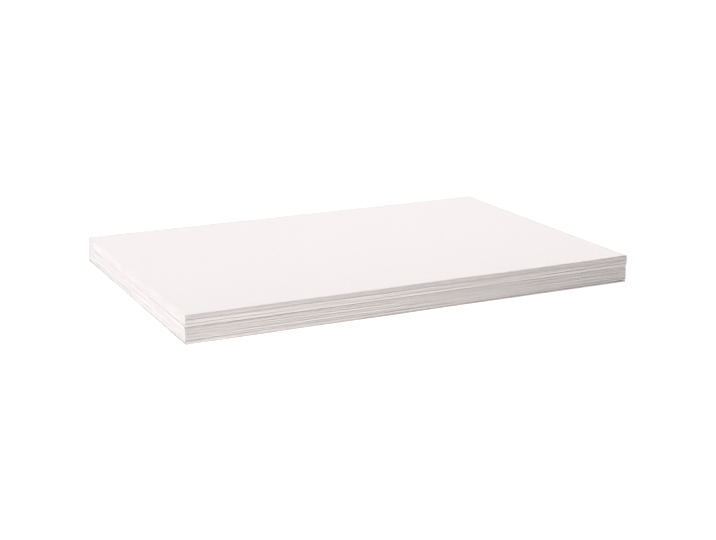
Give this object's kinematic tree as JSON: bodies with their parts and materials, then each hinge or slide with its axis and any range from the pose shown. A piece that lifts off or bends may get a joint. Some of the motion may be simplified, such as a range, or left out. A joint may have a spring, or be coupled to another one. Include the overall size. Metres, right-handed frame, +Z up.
{
  "type": "pack of fryer oil filter paper",
  "caption": "Flat stack of loose, thick white filter paper sheets with straight cut edges, laid in two lifts, for filtering used frying oil.",
  "frame": {"origin": "on the floor below the middle of the pack, at the bottom centre of its bounding box", "axes": "+X along the long sides of the sheets, +Y from the front long side to the back one, +Z up through the stack"},
  "size_m": [0.6208, 0.4194, 0.036],
  "materials": {
    "filter_paper": "matt, uncoated warm white filter paper with a soft fibrous face and plain cut edges"
  },
  "bodies": {
    "root": {"sheets_001_to_005": "filter_paper", "sheets_006_to_010": "filter_paper", "sheets_011_to_015": "filter_paper", "sheets_016_to_020": "filter_paper", "sheets_021_to_025": "filter_paper", "sheets_026_to_030": "filter_paper", "sheets_031_to_035": "filter_paper", "sheets_036_to_040": "filter_paper", "sheets_041_to_045": "filter_paper", "sheets_046_to_050": "filter_paper", "sheets_051_to_055": "filter_paper", "sheets_056_to_060": "filter_paper", "sheets_061_to_065": "filter_paper", "sheets_066_to_070": "filter_paper", "sheets_071_to_075": "filter_paper", "sheets_076_to_080": "filter_paper", "sheets_081_to_085": "filter_paper", "sheets_086_to_090": "filter_paper", "sheets_091_to_095": "filter_paper", "sheets_096_to_100": "filter_paper"}
  },
  "joints": []
}
